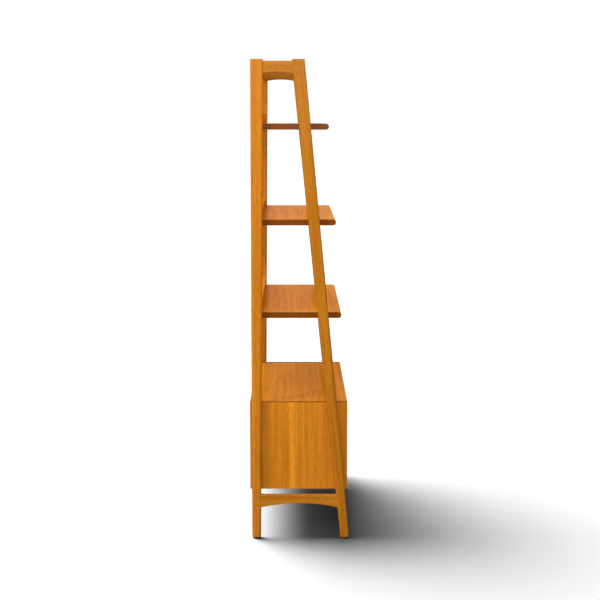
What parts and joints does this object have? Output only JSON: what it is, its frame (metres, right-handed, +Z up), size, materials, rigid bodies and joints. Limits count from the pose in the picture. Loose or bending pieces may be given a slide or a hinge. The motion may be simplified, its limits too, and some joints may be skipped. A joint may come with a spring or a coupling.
{
  "type": "ladder shelf",
  "caption": "Tall leaning-front ladder shelf in orange-brown wood: tapered A-shaped side frames, open bullnose shelves with back rails, and a low cabinet with sliding drawers.",
  "frame": {"origin": "on the floor under the centre of the bounding box", "axes": "+Z up, +X to the right seen from the front, front faces -Y"},
  "size_m": [0.965, 0.424, 2.032],
  "materials": {
    "stained_wood": "warm orange-brown stained solid hardwood, satin lacquer",
    "veneered_wood": "warm orange-brown stained wood veneer, semi-gloss lacquer",
    "drawer_box_wood": "clear-finished light plywood",
    "back_panel_wood": "stained plywood, matt",
    "dowel_wood": "unfinished beech",
    "zinc_steel": "zinc-plated steel",
    "slide_steel": "zinc-plated cold-rolled sheet steel",
    "bearing_steel": "polished bearing steel",
    "glide_plastic": "dark brown nylon"
  },
  "bodies": {
    "frame": {"back_rail_dowels": "dowel_wood", "cabinet_back": "back_panel_wood", "cabinet_bolts": "zinc_steel", "cabinet_bottom": "veneered_wood", "cabinet_dowels": "dowel_wood", "cabinet_left_side": "veneered_wood", "cabinet_right_side": "veneered_wood", "cabinet_top": "veneered_wood", "foot_glides": "glide_plastic", "left_front_leg": "stained_wood", "left_lower_side_rail": "stained_wood", "left_rear_post": "stained_wood", "left_top_side_rail": "stained_wood", "leg_inserts": "zinc_steel", "lower_back_rail": "stained_wood", "lower_shelf": "veneered_wood", "lower_slide_left_cabinet_member": "slide_steel", "lower_slide_right_cabinet_member": "slide_steel", "middle_back_rail": "stained_wood", "middle_shelf": "veneered_wood", "right_front_leg": "stained_wood", "right_lower_side_rail": "stained_wood", "right_rear_post": "stained_wood", "right_top_side_rail": "stained_wood", "shelf_back_dowels": "dowel_wood", "shelf_cam_bolts": "zinc_steel", "shelf_cam_locks": "zinc_steel", "shelf_end_dowels": "dowel_wood", "side_rail_dowels": "dowel_wood", "slide_screws": "zinc_steel", "top_back_rail": "stained_wood", "upper_back_rail": "stained_wood", "upper_shelf": "veneered_wood", "upper_slide_left_cabinet_member": "slide_steel", "upper_slide_right_cabinet_member": "slide_steel"},
    "lower_drawer": {"lower_drawer_back": "drawer_box_wood", "lower_drawer_bottom": "drawer_box_wood", "lower_drawer_dowels": "dowel_wood", "lower_drawer_front": "veneered_wood", "lower_drawer_left_side": "drawer_box_wood", "lower_drawer_right_side": "drawer_box_wood", "lower_drawer_screws": "zinc_steel", "lower_slide_left_drawer_member": "slide_steel", "lower_slide_right_drawer_member": "slide_steel"},
    "lower_slide_middles": {"lower_slide_balls": "bearing_steel", "lower_slide_left_middle_member": "slide_steel", "lower_slide_right_middle_member": "slide_steel"},
    "upper_drawer": {"upper_drawer_back": "drawer_box_wood", "upper_drawer_bottom": "drawer_box_wood", "upper_drawer_dowels": "dowel_wood", "upper_drawer_front": "veneered_wood", "upper_drawer_left_side": "drawer_box_wood", "upper_drawer_right_side": "drawer_box_wood", "upper_drawer_screws": "zinc_steel", "upper_slide_left_drawer_member": "slide_steel", "upper_slide_right_drawer_member": "slide_steel"},
    "upper_slide_middles": {"upper_slide_balls": "bearing_steel", "upper_slide_left_middle_member": "slide_steel", "upper_slide_right_middle_member": "slide_steel"}
  },
  "joints": [
    {"name": "lower_drawer_slide", "type": "slide", "parent": "frame", "child": "lower_drawer", "axis": [0, -1, 0], "range_m": [0, 0.33]},
    {"name": "lower_middle_slide", "type": "slide", "parent": "frame", "child": "lower_slide_middles", "axis": [0, -1, 0], "range_m": [0, 0.165]},
    {"name": "upper_drawer_slide", "type": "slide", "parent": "frame", "child": "upper_drawer", "axis": [0, -1, 0], "range_m": [0, 0.33]},
    {"name": "upper_middle_slide", "type": "slide", "parent": "frame", "child": "upper_slide_middles", "axis": [0, -1, 0], "range_m": [0, 0.165]}
  ],
  "couplings": [
    {"joint": "lower_middle_slide", "follows": "lower_drawer_slide", "ratio": 0.5},
    {"joint": "upper_middle_slide", "follows": "upper_drawer_slide", "ratio": 0.5}
  ]
}
